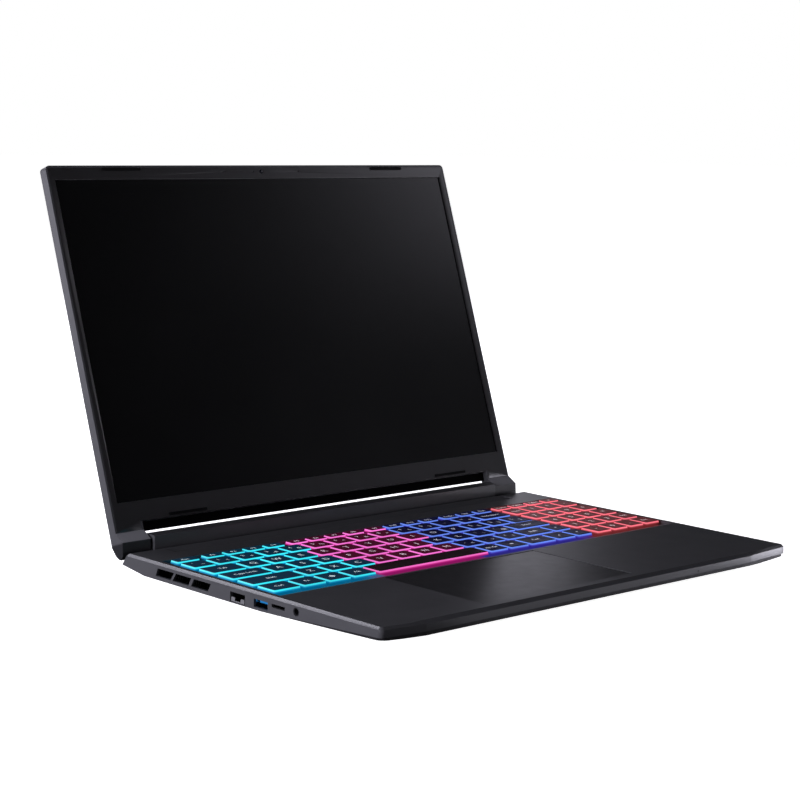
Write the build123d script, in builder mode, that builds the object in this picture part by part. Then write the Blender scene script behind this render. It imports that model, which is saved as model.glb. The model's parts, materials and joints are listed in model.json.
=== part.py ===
from build123d import *
import math
import os

# Gaming-class laptop computer, open for use. Millimetres, +Z up, user on the -Y side.
# The origin is the middle of the open laptop's footprint, on the desk.

# Base
WIDTH = 360.0
DECK_HEIGHT = 18.0
FOOT_HEIGHT = 2.5
FRONT_BOW = 4.5
DECK_LENGTH = 239.5
SKIN = 1.6
WALL = 1.8
CORNER_RADIUS = 3.0
COVER_CORNER_RADIUS = 6.0
COVER_SKIN = 1.2
FLAT_HALF_WIDTH = 150.0
SIDE_CHAMFER = 1.5
BEVEL_X = (-150.0, 138.0)
BOW_X = (-165.0, 155.0)
BOW_SHOULDER = 2.2

# Lid, measured along the lid from the hinge axis and out from it towards the viewer
LID_WIDTH = 356.0
LID_TOP = 254.1
LID_FRONT = -0.46
LID_BACK = -7.53
LID_SKIN = 1.5
BEZEL_THICKNESS = 1.0
SCREEN_WIDTH = 344.7
SCREEN_HEIGHT = 215.4
SCREEN_START = 29.1
LEG_INNER = 156.0
LID_TILT = 19.07

# Hinge axis, from the front edge of the deck and up from the deck
HINGE_Y = 252.2
HINGE_Z = 0.8
SHAFT_RADIUS = 2.5

# Keyboard
KEY_UNIT = 19.2
KEY_GAP = 2.4
ROW_GAP = 3.0
HAIR_GAP = 0.5
KEY_TOP = 0.6
KEY_HEIGHT = 2.1
KEY_TAPER = 12.0
KEY_CORNER = 1.2
KEYS_LEFT = -171.4
KEYPAD_LEFT = 110.2
KEYPAD_PITCH = 16.5
FUNCTIONS_LEFT = -170.6
ESCAPE_PITCH = 20.0
FUNCTION_PITCH = 16.3
GROUP_GAP = 3.3
ROW_FRONTS = [103.0, 122.9, 142.2, 161.2, 180.3, 199.0, 210.5]
WELL_HALF_WIDTH = 175.5
WELL_FRONT = 92.0
WELL_REAR = 209.5
WELL_DEPTH = 3.3

# Touchpad, from its limits on the deck
PAD_X = (-96.0, 32.0)
PAD_Y = (6.0, 89.4)
PAD_RECESS = 0.2
PAD_THICKNESS = 1.2
PAD_CLEARANCE = 0.4

# Fans
FAN_SIZE = 66.0
FAN_CENTRE = (117.0, 189.0)
FAN_BOTTOM = -13.6
FAN_TOP = -4.6
FAN_SHEET = 1.0
ROTOR_RADIUS = 29.0
HUB_RADIUS = 10.0
BLADE_COUNT = 23

TILT = math.radians(LID_TILT)
OPEN_REACH = HINGE_Y + LID_TOP * math.sin(TILT) - LID_BACK * math.cos(TILT)
FRONT = -(OPEN_REACH - FRONT_BOW) / 2
HALF = WIDTH / 2
UNDERSIDE = FOOT_HEIGHT - DECK_HEIGHT
INNER_FLOOR = UNDERSIDE + COVER_SKIN
LID_HALF = LID_WIDTH / 2

# Frames: deck (x, y from the front, z from the deck), side (y, z) and lid (x, along, out)
deck = Plane(origin=(0, FRONT, DECK_HEIGHT), x_dir=(1, 0, 0), z_dir=(0, 0, 1))
side = Plane(origin=(0, FRONT, DECK_HEIGHT), x_dir=(0, 1, 0), z_dir=(1, 0, 0))
front = Plane(origin=(0, FRONT, DECK_HEIGHT), x_dir=(1, 0, 0), z_dir=(0, -1, 0))
hinge_point = (0, FRONT + HINGE_Y, DECK_HEIGHT + HINGE_Z)
lid = Plane(origin=hinge_point, x_dir=(1, 0, 0), z_dir=(0, -math.cos(TILT), math.sin(TILT)))
lid_side = Plane(origin=hinge_point, x_dir=(0, math.sin(TILT), math.cos(TILT)), z_dir=(1, 0, 0))

ON_BASE = (Align.CENTER, Align.CENTER, Align.MIN)

os.makedirs("parts", exist_ok=True)


def block(x, y, z, mode=Mode.ADD):
    """A box between low and high limits on each axis of the part's own frame."""
    with Locations(((x[0] + x[1]) / 2, (y[0] + y[1]) / 2, (z[0] + z[1]) / 2)):
        Box(x[1] - x[0], y[1] - y[0], z[1] - z[0], mode=mode)


def both(low, high):
    """The same pair of limits on the left and on the right of the middle plane."""
    return [(low, high), (-high, -low)]


def outline(plane, points):
    """A face with straight edges on a plane."""
    with BuildSketch(plane) as sketch:
        with BuildLine():
            Polyline(*points, close=True)
        make_face()
    return sketch.sketch


def plan_outline(radius, inset):
    """Outline of the base from above, with its bowed front edge."""
    half = HALF - inset
    bow = FRONT_BOW - inset
    with BuildSketch() as plan:
        with BuildLine():
            Polyline(
                (-half, inset),
                (BOW_X[0], -BOW_SHOULDER + inset),
                (BEVEL_X[0], -bow),
                (BEVEL_X[1], -bow),
                (BOW_X[1], -BOW_SHOULDER + inset),
                (half, inset),
                (half, 260),
                (-half, 260),
                close=True,
            )
        make_face()
        fillet(plan.vertices().group_by(Axis.X)[0], radius)
        fillet(plan.vertices().group_by(Axis.X)[-1], radius)
    return plan.sketch


# Finger bevel in the front edge, and the end of its run-out, as (y, z)
BEVEL = [(-0.8, 0.3), (-0.8, 0), (-6, -2.25), (-6, 0.3)]
BEVEL_END = [(-2.1, 0.3), (-2.1, 0), (-2.6, -0.2), (-2.6, 0.3)]

# Where the case meets the bottom cover, as (y, z) along the side of the base
SEAM = [(-6.0, -5.7), (38.0, -7.8), (105.0, -11.0), (222.0, -11.0), (245.5, -7.8)]


# ---------------------------------------------------------------- top case
# Slanted side vents, as y of the top rear, bottom rear, top front and bottom front corners
VENTS = [
    (207.1, 209.4, 190.1, 193.8),
    (188.0, 191.7, 172.4, 175.4),
    (169.7, 172.8, 152.9, 155.8),
]
VENT_TOP = -3.5
VENT_BOTTOM = -8.7
NETWORK_Y = (119.6, 133.8)
NETWORK_Z = (-10.4, -4.3)
LEFT_USB_Y = 104.8
RIGHT_USB_Y = [102.5, 124.5]
USB_Z = -6.95
USB_OPENING = (13.0, 4.9)
CARD_Y = (82.6, 94.6)
CARD_Z = (-6.6, -4.4)
AUDIO_Y = 72.4
AUDIO_Z = -5.1
LIGHT_X = 84.0
LIGHT_Z = -4.0
LIGHT_RADIUS = 0.9

with BuildPart(deck) as top_case:
    with BuildSketch(side.offset(-HALF)):
        with BuildLine():
            Polyline(*SEAM, (DECK_LENGTH, 0), (-6, 0), close=True)
        make_face()
    extrude(amount=WIDTH)
    with BuildSketch(deck.offset(-20)):
        add(plan_outline(CORNER_RADIUS, 0))
    extrude(amount=20, mode=Mode.INTERSECT)
    top_side_edges = top_case.edges().filter_by(Axis.Y).group_by(Axis.Z)[-1]
    chamfer(top_side_edges, SIDE_CHAMFER)

    # Finger bevel along the front, with a run-out at each end
    for start, end in [(BEVEL_X[0], BOW_X[0]), (BEVEL_X[1], BOW_X[1])]:
        ends = [outline(side.offset(start), BEVEL), outline(side.offset(end), BEVEL_END)]
        loft(ends, mode=Mode.SUBTRACT)
    extrude(outline(side.offset(BEVEL_X[0]), BEVEL), amount=BEVEL_X[1] - BEVEL_X[0], mode=Mode.SUBTRACT)

    # Hollow inside, and the open middle of the rear wall
    with BuildSketch(side.offset(-HALF + WALL)):
        with BuildLine():
            Polyline((2.5, -SKIN), (238, -SKIN), (243.2, -8.3), (243.2, -13), (2.5, -13), close=True)
        make_face()
    extrude(amount=WIDTH - 2 * WALL, mode=Mode.SUBTRACT)
    block((-150, 150), (236, 250), (-13, -SKIN), mode=Mode.SUBTRACT)

    # Well of the keyboard: frame, sloped front ramp and opening
    block((-WELL_HALF_WIDTH - 1.2, WELL_HALF_WIDTH + 1.2), (90, WELL_REAR + 1.2), (-WELL_DEPTH, -SKIN))
    well = [(WELL_FRONT, 0), (101.5, -2.6), (101.5, -4), (WELL_REAR, -4), (WELL_REAR, 0)]
    extrude(outline(side.offset(-WELL_HALF_WIDTH), well), amount=2 * WELL_HALF_WIDTH, mode=Mode.SUBTRACT)

    # Two shallow steps across the strip behind the keyboard
    with BuildSketch(side.offset(-153)):
        with BuildLine():
            Polyline(
                (226, 0.1), (226, 0), (227.2, -0.9), (232, -0.3), (232.4, -0.9), (239, 0), (239, 0.1),
                close=True,
            )
        make_face()
    extrude(amount=306, mode=Mode.SUBTRACT)

    # Touchpad opening
    block(
        (PAD_X[0] - PAD_CLEARANCE, PAD_X[1] + PAD_CLEARANCE),
        (PAD_Y[0] - PAD_CLEARANCE, PAD_Y[1] + PAD_CLEARANCE),
        (-SKIN - 1, 1),
        mode=Mode.SUBTRACT,
    )

    # Slanted side vents, three on each side
    for top_rear, low_rear, top_front, low_front in VENTS:
        for start in [-HALF - 1, HALF - WALL - 1]:
            with BuildSketch(side.offset(start)):
                with BuildLine():
                    Polyline(
                        (top_rear, VENT_TOP),
                        (low_rear, VENT_BOTTOM),
                        (low_front, VENT_BOTTOM),
                        (top_front, VENT_TOP),
                        close=True,
                    )
                make_face()
            extrude(amount=WALL + 2, mode=Mode.SUBTRACT)

    # Port openings in the left wall
    left_wall = (-HALF - 1, -HALF + WALL + 1)
    right_wall = (HALF - WALL - 1, HALF + 1)
    usb_z = (USB_Z - USB_OPENING[1] / 2, USB_Z + USB_OPENING[1] / 2)
    block(left_wall, NETWORK_Y, NETWORK_Z, mode=Mode.SUBTRACT)
    block(left_wall, (LEFT_USB_Y - 6.5, LEFT_USB_Y + 6.5), usb_z, mode=Mode.SUBTRACT)
    block(left_wall, CARD_Y, CARD_Z, mode=Mode.SUBTRACT)
    with Locations((-HALF, AUDIO_Y, AUDIO_Z)):
        Cylinder(2.6, 8, rotation=(0, 90, 0), mode=Mode.SUBTRACT)
    for port_y in RIGHT_USB_Y:
        block(right_wall, (port_y - 6.5, port_y + 6.5), usb_z, mode=Mode.SUBTRACT)

    # Pinhole of the status light in the front wall
    with Locations((LIGHT_X, 0, LIGHT_Z)):
        Cylinder(LIGHT_RADIUS + 0.05, 16, rotation=(90, 0, 0), mode=Mode.SUBTRACT)
top_case.part.label = "top_case"
export_step(top_case.part, "parts/top_case.step")

# ---------------------------------------------------------------- bottom cover
# Cross-sections of the tray as (y, seam, side edge, shoulder, floor) heights
COVER_SECTIONS = [
    (-6.0, -5.7, -7.3, -7.6, -7.8),
    (38.0, -7.8, -8.9, -12.2, UNDERSIDE),
    (105.0, -11.0, -11.1, -13.6, UNDERSIDE),
    (222.0, -11.0, -11.1, -13.6, UNDERSIDE),
    (245.5, -7.8, -8.0, -8.6, -9.2),
]
SHOULDER = 165.0
SCREW_PLACES = [
    *[(-142, 52), (142, 52), (-142, 140), (142, 140)],
    *[(-76, 236), (76, 236), (0, 236), (0, 146), (-60, 91), (60, 91)],
]
SCREW_HEAD_RADIUS = 2.4
SCREW_HEAD_DEPTH = 0.6
SCREW_RADIUS = 1.2


def tray(narrower, raised, top, front_edge):
    """Outer shape of the bottom cover in the deck frame, narrower and raised for its hollow."""
    wide = HALF - 0.2 - narrower
    with BuildPart() as body:
        for y, seam, edge, shoulder, floor in COVER_SECTIONS:
            with BuildSketch(Plane(origin=(0, y, 0), x_dir=(1, 0, 0), z_dir=(0, -1, 0))):
                with BuildLine():
                    Polyline(
                        (-wide, seam + top),
                        (wide, seam + top),
                        (wide, edge + raised),
                        (SHOULDER - narrower, shoulder + raised),
                        (FLAT_HALF_WIDTH - narrower, floor + raised),
                        (narrower - FLAT_HALF_WIDTH, floor + raised),
                        (narrower - SHOULDER, shoulder + raised),
                        (-wide, edge + raised),
                        close=True,
                    )
                make_face()
        loft(ruled=True)
        block((-HALF, HALF), (-10, front_edge), (-20, 0), mode=Mode.SUBTRACT)
    return body.part


with BuildPart(deck) as bottom_cover:
    add(tray(0, 0, 0, -5))
    with BuildSketch(deck.offset(-20)):
        add(plan_outline(COVER_CORNER_RADIUS, 0.2))
    extrude(amount=20, mode=Mode.INTERSECT)
    block((-150, 150), (200, 240.4), (UNDERSIDE, -9))
    block((-150, 150), (240.4, 260), (-20, 0), mode=Mode.SUBTRACT)
    add(tray(1.6, COVER_SKIN, 3, 1.2), mode=Mode.SUBTRACT)
    block((-148.4, 148.4), (198, 242), (INNER_FLOOR, -2), mode=Mode.SUBTRACT)

    # Intake slots under each fan
    for centre_x in [-FAN_CENTRE[0], FAN_CENTRE[0]]:
        with Locations((centre_x, FAN_CENTRE[1] + 4, UNDERSIDE)):
            with GridLocations(5.0, 23.0, 9, 2):
                Box(2.4, 20.0, 6, mode=Mode.SUBTRACT)

    # Speaker slots near the front corners
    for centre_x in [-138, 138]:
        with Locations((centre_x, 48, UNDERSIDE)):
            with GridLocations(4.0, 0, 5, 1):
                Box(1.8, 9.0, 6, mode=Mode.SUBTRACT)

    # Stepped holes for the screws
    for screw_x, screw_y in SCREW_PLACES:
        with Locations((screw_x, screw_y, UNDERSIDE)):
            Cylinder(SCREW_RADIUS + 0.2, 6, mode=Mode.SUBTRACT)
            Cylinder(SCREW_HEAD_RADIUS + 0.2, 2 * SCREW_HEAD_DEPTH, mode=Mode.SUBTRACT)
bottom_cover.part.label = "bottom_cover"
export_step(bottom_cover.part, "parts/bottom_cover.step")

with BuildPart(deck) as cover_screws:
    for screw_x, screw_y in SCREW_PLACES:
        with Locations((screw_x, screw_y, UNDERSIDE + 0.1)):
            Cylinder(SCREW_HEAD_RADIUS, SCREW_HEAD_DEPTH - 0.1, align=ON_BASE)
            Cylinder(SCREW_RADIUS, 3.4, align=ON_BASE)
            Box(2.6, 0.6, 0.5, mode=Mode.SUBTRACT)
            Box(0.6, 2.6, 0.5, mode=Mode.SUBTRACT)
cover_screws.part.label = "cover_screws"
export_step(cover_screws.part, "parts/cover_screws.step")

FRONT_FEET = [(-118, -66), (66, 118)]
REAR_FOOT = (-112, 112)
with BuildPart(deck) as rubber_feet:
    for foot_x in FRONT_FEET:
        block(foot_x, (44, 53), (-DECK_HEIGHT, UNDERSIDE))
    block(REAR_FOOT, (221, 230), (-DECK_HEIGHT, UNDERSIDE))
    fillet(rubber_feet.edges().filter_by(Axis.Z), 3)
    chamfer(rubber_feet.faces().group_by(Axis.Z)[0].edges(), 0.6)
rubber_feet.part.label = "rubber_feet"
export_step(rubber_feet.part, "parts/rubber_feet.step")

# ---------------------------------------------------------------- rear section and hinge bar
REAR_HALF = 150.0
REAR_START = 240.4
REAR_TOP = -2.0
REAR_WALL_Y = (264.4, 266.0)
REAR_FLOOR = UNDERSIDE + SKIN
REAR_VENT_X = 106.0
PORT_Z = -8.0
HDMI_X = -20.0
USB_C_X = 12.0
POWER_X = 55.0
POWER_BORE = 2.75
BRACKET_X = (128.0, 146.0)

with BuildPart(deck) as rear_housing:
    with BuildSketch(side.offset(-REAR_HALF)):
        with BuildLine():
            Polyline(
                (REAR_START, REAR_TOP), (263, REAR_TOP), (266, -4), (266, -13), (262, UNDERSIDE),
                (REAR_START, UNDERSIDE), close=True,
            )
        make_face()
    extrude(amount=2 * REAR_HALF)
    with BuildSketch(side.offset(-REAR_HALF + SKIN)):
        with BuildLine():
            Polyline(
                (REAR_START - 1, -3.6), (262.5, -3.6), (264.4, -4.7), (264.4, -12.4), (261.8, REAR_FLOOR),
                (REAR_START - 1, REAR_FLOOR), close=True,
            )
        make_face()
    extrude(amount=2 * (REAR_HALF - SKIN), mode=Mode.SUBTRACT)
    for vent_x in [-REAR_VENT_X, REAR_VENT_X]:
        with Locations((vent_x, REAR_WALL_Y[1] - 2, -8.5)):
            with GridLocations(4.0, 0, 9, 1):
                Box(2.6, 8, 5.2, mode=Mode.SUBTRACT)
    for low, high in both(*BRACKET_X):
        block((low - 0.5, high + 0.5), (248.5, 255.9), (-4, -1), mode=Mode.SUBTRACT)
    with Locations((0, REAR_WALL_Y[1], PORT_Z)):
        with Locations((HDMI_X, 0)):
            Box(15.0, 8, 5.0, mode=Mode.SUBTRACT)
        with Locations((USB_C_X, 0)):
            Box(9.0, 8, 3.2, mode=Mode.SUBTRACT)
        with Locations((POWER_X, 0)):
            Cylinder(POWER_BORE, 8, rotation=(90, 0, 0), mode=Mode.SUBTRACT)
rear_housing.part.label = "rear_housing"
export_step(rear_housing.part, "parts/rear_housing.step")

BAR_HALF = 154.5
BAR_SKIN = 1.3
with BuildPart(deck) as hinge_bar_cover:
    bar = [(246, REAR_TOP), (246.3, 7.2), (254.5, 8.2), (259.8, 2.5), (259.8, REAR_TOP)]
    extrude(outline(side.offset(-BAR_HALF), bar), amount=2 * BAR_HALF)
    fillet(hinge_bar_cover.edges().filter_by(Axis.X).group_by(Axis.Z)[-1], 2.5)
    fillet(hinge_bar_cover.edges().filter_by(Axis.X).sort_by(Axis.Y)[0], 0.4)
    inner_half = BAR_HALF - BAR_SKIN
    bar_hollow = [(247.3, -3), (247.6, 5.9), (254, 6.7), (258.4, 2), (258.4, -3)]
    extrude(outline(side.offset(-inner_half), bar_hollow), amount=2 * inner_half, mode=Mode.SUBTRACT)
    with Locations((0, HINGE_Y, HINGE_Z)):
        Cylinder(SHAFT_RADIUS + 0.4, 2 * BAR_HALF + 2, rotation=(0, 90, 0), mode=Mode.SUBTRACT)
hinge_bar_cover.part.label = "hinge_bar_cover"
export_step(hinge_bar_cover.part, "parts/hinge_bar_cover.step")

with BuildPart(deck) as hinge_brackets:
    for low, high in both(*BRACKET_X):
        middle = (low + high) / 2
        with Locations((middle, HINGE_Y, HINGE_Z)):
            Cylinder(4.2, high - low, rotation=(0, 90, 0))
        block((low, high), (249.3, 255.1), (REAR_FLOOR, -1))
        block((low - 1, high + 1), (241.5, 256.5), (REAR_FLOOR, REAR_FLOOR + 1.4))
        with Locations((middle, HINGE_Y, HINGE_Z)):
            Cylinder(SHAFT_RADIUS + 0.05, high - low + 2, rotation=(0, 90, 0), mode=Mode.SUBTRACT)
hinge_brackets.part.label = "hinge_brackets"
export_step(hinge_brackets.part, "parts/hinge_brackets.step")

# ---------------------------------------------------------------- keyboard plate and light
with BuildPart(deck) as keyboard_plate:
    block((-176.5, 176.5), (90.5, WELL_REAR + 1), (-WELL_DEPTH - 0.6, -WELL_DEPTH))
keyboard_plate.part.label = "keyboard_plate"
export_step(keyboard_plate.part, "parts/keyboard_plate.step")

with BuildPart(deck) as backlight_sheet:
    block((-175, 175), (102, WELL_REAR - 0.5), (-WELL_DEPTH, -WELL_DEPTH + 0.15))
backlight_sheet.part.label = "backlight_sheet"
export_step(backlight_sheet.part, "parts/backlight_sheet.step")


# ---------------------------------------------------------------- keys
def keycaps(caps):
    """Tapered keycaps, each given by its left, right, front and rear cell limits on the deck."""
    with BuildPart(deck) as group:
        for left, right, near, far in caps:
            width = right - left - KEY_GAP
            depth = far - near - ROW_GAP
            with BuildSketch(deck.offset(KEY_TOP - KEY_HEIGHT)):
                with Locations((left + width / 2, near + depth / 2)):
                    RectangleRounded(width, depth, KEY_CORNER)
            extrude(amount=KEY_HEIGHT, taper=KEY_TAPER)
    return group.part


def row(number, widths):
    """Cells of one row of the main block, from its key widths in units."""
    cells = []
    left = KEYS_LEFT
    for width in widths:
        right = left + width * KEY_UNIT
        cells.append((left, right, ROW_FRONTS[number], ROW_FRONTS[number + 1]))
        left = right
    return cells


def keypad(column, number):
    """Cell of a keypad key, by its column from the left and its row from the front."""
    left = KEYPAD_LEFT + column * KEYPAD_PITCH
    return (left, left + KEYPAD_PITCH, ROW_FRONTS[number], ROW_FRONTS[number + 1])


def top_row():
    """Cells of the function row: the escape key, then groups of keys with a gap between them."""
    cells = []
    left = FUNCTIONS_LEFT
    for count, pitch in [(1, ESCAPE_PITCH), *[(4, FUNCTION_PITCH)] * 3, (3, FUNCTION_PITCH)]:
        for _ in range(count):
            cells.append((left, left + pitch, ROW_FRONTS[FUNCTIONS], ROW_FRONTS[FUNCTIONS + 1]))
            left += pitch
        left += GROUP_GAP
    return cells


BOTTOM, LOWER, HOME, UPPER, NUMBERS, FUNCTIONS = range(6)
bottom_row = row(BOTTOM, [1.2, 1.04, 1.02, 1.06, 5.03, 0.95, 1.0, 1.35, 1.0, 0.85])
lower_row = row(LOWER, [2.22] + [1] * 10 + [1.38, 0.9])
home_row = row(HOME, [1.73] + [1] * 11 + [1.77])
upper_row = row(UPPER, [1.47] + [1] * 12 + [1.03])
number_row = row(NUMBERS, [1] * 13 + [1.5])
function_row = top_row()
keypad_top = [keypad(column, FUNCTIONS) for column in range(4)]

# The last key of the upper row stands close behind the enter key
left, right, near, far = upper_row[-1]
upper_row[-1] = (left, right, near - ROW_GAP + HAIR_GAP, far)

KEY_GROUPS = {
    "space_key": bottom_row[4:5],
    "enter_key": home_row[-1:],
    "backspace_key": number_row[-1:],
    "tab_key": upper_row[:1],
    "caps_lock_key": home_row[:1],
    "left_shift_key": lower_row[:1],
    "right_shift_key": lower_row[-2:-1],
    "escape_key": function_row[:1],
    "power_key": keypad_top[-1:],
    "modifier_keys": bottom_row[:4] + bottom_row[5:8],
    "arrow_keys": lower_row[-1:] + bottom_row[8:] + [keypad(0, BOTTOM)],
    "lower_letter_keys": lower_row[1:-2],
    "home_letter_keys": home_row[1:-1],
    "upper_letter_keys": upper_row[1:],
    "number_keys": number_row[:-1],
    "function_keys": function_row[1:] + keypad_top[:-1],
    "keypad_keys": [keypad(column, BOTTOM) for column in range(1, 4)]
    + [keypad(column, number) for number in [LOWER, HOME, UPPER, NUMBERS] for column in range(4)],
}
for label, caps in KEY_GROUPS.items():
    group = keycaps(caps)
    group.label = label
    export_step(group, f"parts/{label}.step")

# ---------------------------------------------------------------- touchpad
with BuildPart(deck) as touchpad:
    block(PAD_X, PAD_Y, (-PAD_RECESS - PAD_THICKNESS, -PAD_RECESS))
    fillet(touchpad.edges().filter_by(Axis.Z), 1.5)
touchpad.part.label = "touchpad"
export_step(touchpad.part, "parts/touchpad.step")

BRACKET_TOP = -2.4
with BuildPart(deck) as touchpad_bracket:
    block((-103, 39), (8, 89), (BRACKET_TOP - 0.8, BRACKET_TOP))
    for rib in [(-103, -97), (33, 39)]:
        block(rib, (8, 89), (BRACKET_TOP, -SKIN))
    with Locations((-32, 52, BRACKET_TOP)):
        with GridLocations(60, 0, 2, 1):
            Box(36, 40, 4, mode=Mode.SUBTRACT)
touchpad_bracket.part.label = "touchpad_bracket"
export_step(touchpad_bracket.part, "parts/touchpad_bracket.step")

with BuildPart(deck) as click_switch:
    block((-35, -29), (11, 17), (BRACKET_TOP, BRACKET_TOP + 0.25))
    with Locations((-32, 14, BRACKET_TOP + 0.25)):
        Cylinder(1.8, 0.2, align=ON_BASE)
click_switch.part.label = "click_switch"
export_step(click_switch.part, "parts/click_switch.step")

# ---------------------------------------------------------------- electronics
BOARD = (-6.4, -5.2)
CHIP_X = 28.0
CHIP_Y = 190.0
CHIP_BOTTOM = -7.4
with BuildPart(deck) as motherboard:
    with BuildSketch(deck.offset(BOARD[0])):
        with BuildLine():
            Polyline(
                (-158, 64), (-116, 64), (-116, 94), (116, 94), (116, 64), (158, 64), (158, 152),
                (82, 152), (82, 236), (-82, 236), (-82, 152), (-158, 152), close=True,
            )
        make_face()
    extrude(amount=BOARD[1] - BOARD[0])
    with Locations((0, CHIP_Y, BOARD[0])):
        with GridLocations(2 * CHIP_X, 0, 2, 1):
            Box(26, 26, BOARD[0] - CHIP_BOTTOM, align=(Align.CENTER, Align.CENTER, Align.MAX))
    with Locations((0, 146, BOARD[0])):
        with GridLocations(18, 0, 6, 1):
            Box(9, 9, 3.0, align=(Align.CENTER, Align.CENTER, Align.MAX))
    with Locations((0, 230, BOARD[1])):
        with GridLocations(24, 0, 6, 1):
            Cylinder(2.5, 0.8, align=ON_BASE)
motherboard.part.label = "motherboard"
export_step(motherboard.part, "parts/motherboard.step")

with BuildPart(deck) as memory_modules:
    for centre_x in [-38.0, 38.0]:
        with Locations((centre_x, 112, BOARD[0])):
            Box(70, 6, 4.0, align=(Align.CENTER, Align.CENTER, Align.MAX))
            with Locations((0, 12, -2.2)):
                Box(67.6, 30, 1.0)
            with Locations((0, 14, -2.2)):
                with GridLocations(15.5, 0, 4, 1):
                    Box(11, 10, 3.2)
memory_modules.part.label = "memory_modules"
export_step(memory_modules.part, "parts/memory_modules.step")

with BuildPart(deck) as storage_drive:
    block((74, 80), (99, 121), (-9.4, BOARD[0]))
    block((76, 154), (99, 121), (-8.4, -7.6))
    for chip_x in [90, 112, 134]:
        block((chip_x - 7, chip_x + 7), (101, 119), (-9.6, -8.2))
    block((151, 154), (107, 113), (-7.8, BOARD[0]))
storage_drive.part.label = "storage_drive"
export_step(storage_drive.part, "parts/storage_drive.step")

with BuildPart(deck) as wifi_card:
    block((-126, -121), (100, 122), (-8.9, BOARD[0]))
    block((-124, -96), (100, 122), (-8.1, -7.3))
    block((-118, -100), (103, 119), (-9.3, -8.0))
    block((-99, -96), (108, 114), (-7.5, BOARD[0]))
wifi_card.part.label = "wifi_card"
export_step(wifi_card.part, "parts/wifi_card.step")

with BuildPart(deck) as battery:
    block((-110, 110), (34, 88), (-12.8, -5.6))
    fillet(battery.edges().filter_by(Axis.Z), 3)
    for seam_x in [-55, 0, 55]:
        for seam_z in [-12.8, -5.6]:
            with Locations((seam_x, 61, seam_z)):
                Box(1.6, 54, 1.2, mode=Mode.SUBTRACT)
battery.part.label = "battery"
export_step(battery.part, "parts/battery.step")

SPEAKER_X = 143.0


def speaker(centre_x):
    """Flat speaker box with a round diaphragm recess facing down."""
    with BuildPart(deck) as box:
        block((centre_x - 19, centre_x + 19), (28, 58), (-9.2, -4.4))
        fillet(box.edges().filter_by(Axis.Z), 4)
        with Locations((centre_x, 43, -9.2)):
            Cylinder(11, 2.4, mode=Mode.SUBTRACT)
        with Locations((centre_x, 43, -8.0)):
            Cylinder(5, 1.2)
    return box.part


for label, centre_x in [("left_speaker", -SPEAKER_X), ("right_speaker", SPEAKER_X)]:
    box = speaker(centre_x)
    box.label = label
    export_step(box, f"parts/{label}.step")

# ---------------------------------------------------------------- cooling
COLD_PLATE = (-8.6, CHIP_BOTTOM)
PIPE_BOTTOM = -11.0
PIPE_WIDTH = 6.0
REAR_PIPE_Y = 227.5
SIDE_PIPE_Y = 150.5

with BuildPart(deck) as cold_plate:
    block((-58, 58), (166, 214), COLD_PLATE)
    fillet(cold_plate.edges().filter_by(Axis.Z), 3)
    with Locations((0, CHIP_Y, COLD_PLATE[0])):
        with GridLocations(108, 40, 2, 2):
            Cylinder(1.4, 6, mode=Mode.SUBTRACT)
cold_plate.part.label = "cold_plate"
export_step(cold_plate.part, "parts/cold_plate.step")

with BuildPart(deck) as heat_pipes:
    for hand in [-1, 1]:
        with BuildSketch(deck.offset(PIPE_BOTTOM)):
            with BuildLine():
                FilletPolyline(
                    (hand * 10, CHIP_Y + 6),
                    (hand * 70, CHIP_Y + 6),
                    (hand * 70, REAR_PIPE_Y),
                    (hand * 130, REAR_PIPE_Y),
                    radius=8,
                )
            trace(line_width=PIPE_WIDTH)
            with BuildLine():
                FilletPolyline(
                    (hand * 10, CHIP_Y - 12),
                    (hand * 70, CHIP_Y - 12),
                    (hand * 70, SIDE_PIPE_Y),
                    (hand * 170, SIDE_PIPE_Y),
                    radius=8,
                )
            trace(line_width=PIPE_WIDTH)
        extrude(amount=COLD_PLATE[0] - PIPE_BOTTOM)
heat_pipes.part.label = "heat_pipes"
export_step(heat_pipes.part, "parts/heat_pipes.step")

with BuildPart(deck) as rear_fin_stacks:
    for low, high in both(86, 124):
        block((low, high), (231.5, 261), (-13.4, -12.8))
        block((low, high), (231.5, 261), (-5.0, -4.4))
        with Locations(((low + high) / 2, 246.25, -8.9)):
            with GridLocations(2.3, 0, 16, 1):
                Box(0.5, 29.5, 8.8)
rear_fin_stacks.part.label = "rear_fin_stacks"
export_step(rear_fin_stacks.part, "parts/rear_fin_stacks.step")

with BuildPart(deck) as side_fin_stacks:
    for low, high in both(152, 175):
        block((low, high), (155, 209), (-9.4, -8.9))
        block((low, high), (155, 209), (-4.9, -4.4))
        with Locations(((low + high) / 2, 182, -6.9)):
            with GridLocations(0, 2.3, 1, 24):
                Box(23, 0.5, 4.8)
side_fin_stacks.part.label = "side_fin_stacks"
export_step(side_fin_stacks.part, "parts/side_fin_stacks.step")


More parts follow.
